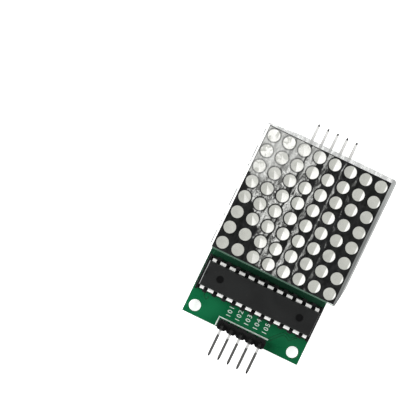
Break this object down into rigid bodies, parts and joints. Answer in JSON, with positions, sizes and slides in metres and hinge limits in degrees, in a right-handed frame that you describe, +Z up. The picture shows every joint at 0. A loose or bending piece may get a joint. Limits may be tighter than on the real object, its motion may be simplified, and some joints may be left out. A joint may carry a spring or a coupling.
{
  "type": "led dot matrix module",
  "caption": "Square light matrix on a narrow driver board, with a socketed driver and bent pin headers at both ends.",
  "frame": {"origin": "centre of the four mounting holes, on the underside of the board", "axes": "+Z up out of the matrix's face, +Y from the input end to the output end, +X along the rows of pins"},
  "size_m": [0.0335, 0.0623, 0.0182],
  "materials": {
    "board_green": "satin",
    "solder": "satin",
    "header_black": "satin",
    "pin_tin": "satin",
    "strip_black": "satin",
    "contact_gold": "satin",
    "socket_black": "satin",
    "driver_mould": "matte",
    "lead_tin": "satin",
    "housing_white": "satin",
    "face_black": "satin",
    "dot_resin": "gloss",
    "chip": "gloss",
    "plate_tan": "matte",
    "filling_resin": "gloss",
    "film_clear": "gloss",
    "can_metal": "satin",
    "sleeve_blue": "gloss",
    "seal_rubber": "matte",
    "disc_orange": "gloss",
    "resistor_tan": "satin"
  },
  "bodies": {
    "root": {"circuit_board": "board_green", "board_solder": "solder", "input_header_block": "header_black", "input_header_pins": "pin_tin", "output_header_block": "header_black", "output_header_pins": "pin_tin", "near_strip_body": "strip_black", "near_strip_contacts": "contact_gold", "far_strip_body": "strip_black", "far_strip_contacts": "contact_gold", "socket_body": "socket_black", "socket_contacts": "contact_gold", "driver_body": "driver_mould", "driver_leads": "lead_tin", "matrix_housing": "housing_white", "matrix_face_print": "face_black", "matrix_dots": "dot_resin", "matrix_chips": "chip", "matrix_plate": "plate_tan", "matrix_filling": "filling_resin", "matrix_pins": "lead_tin", "face_film": "film_clear", "capacitor_can": "can_metal", "capacitor_sleeve": "sleeve_blue", "capacitor_seal": "seal_rubber", "capacitor_leads": "lead_tin", "disc_capacitor_body": "disc_orange", "disc_capacitor_leads": "lead_tin", "resistor_body": "resistor_tan", "resistor_leads": "lead_tin"}
  },
  "joints": []
}
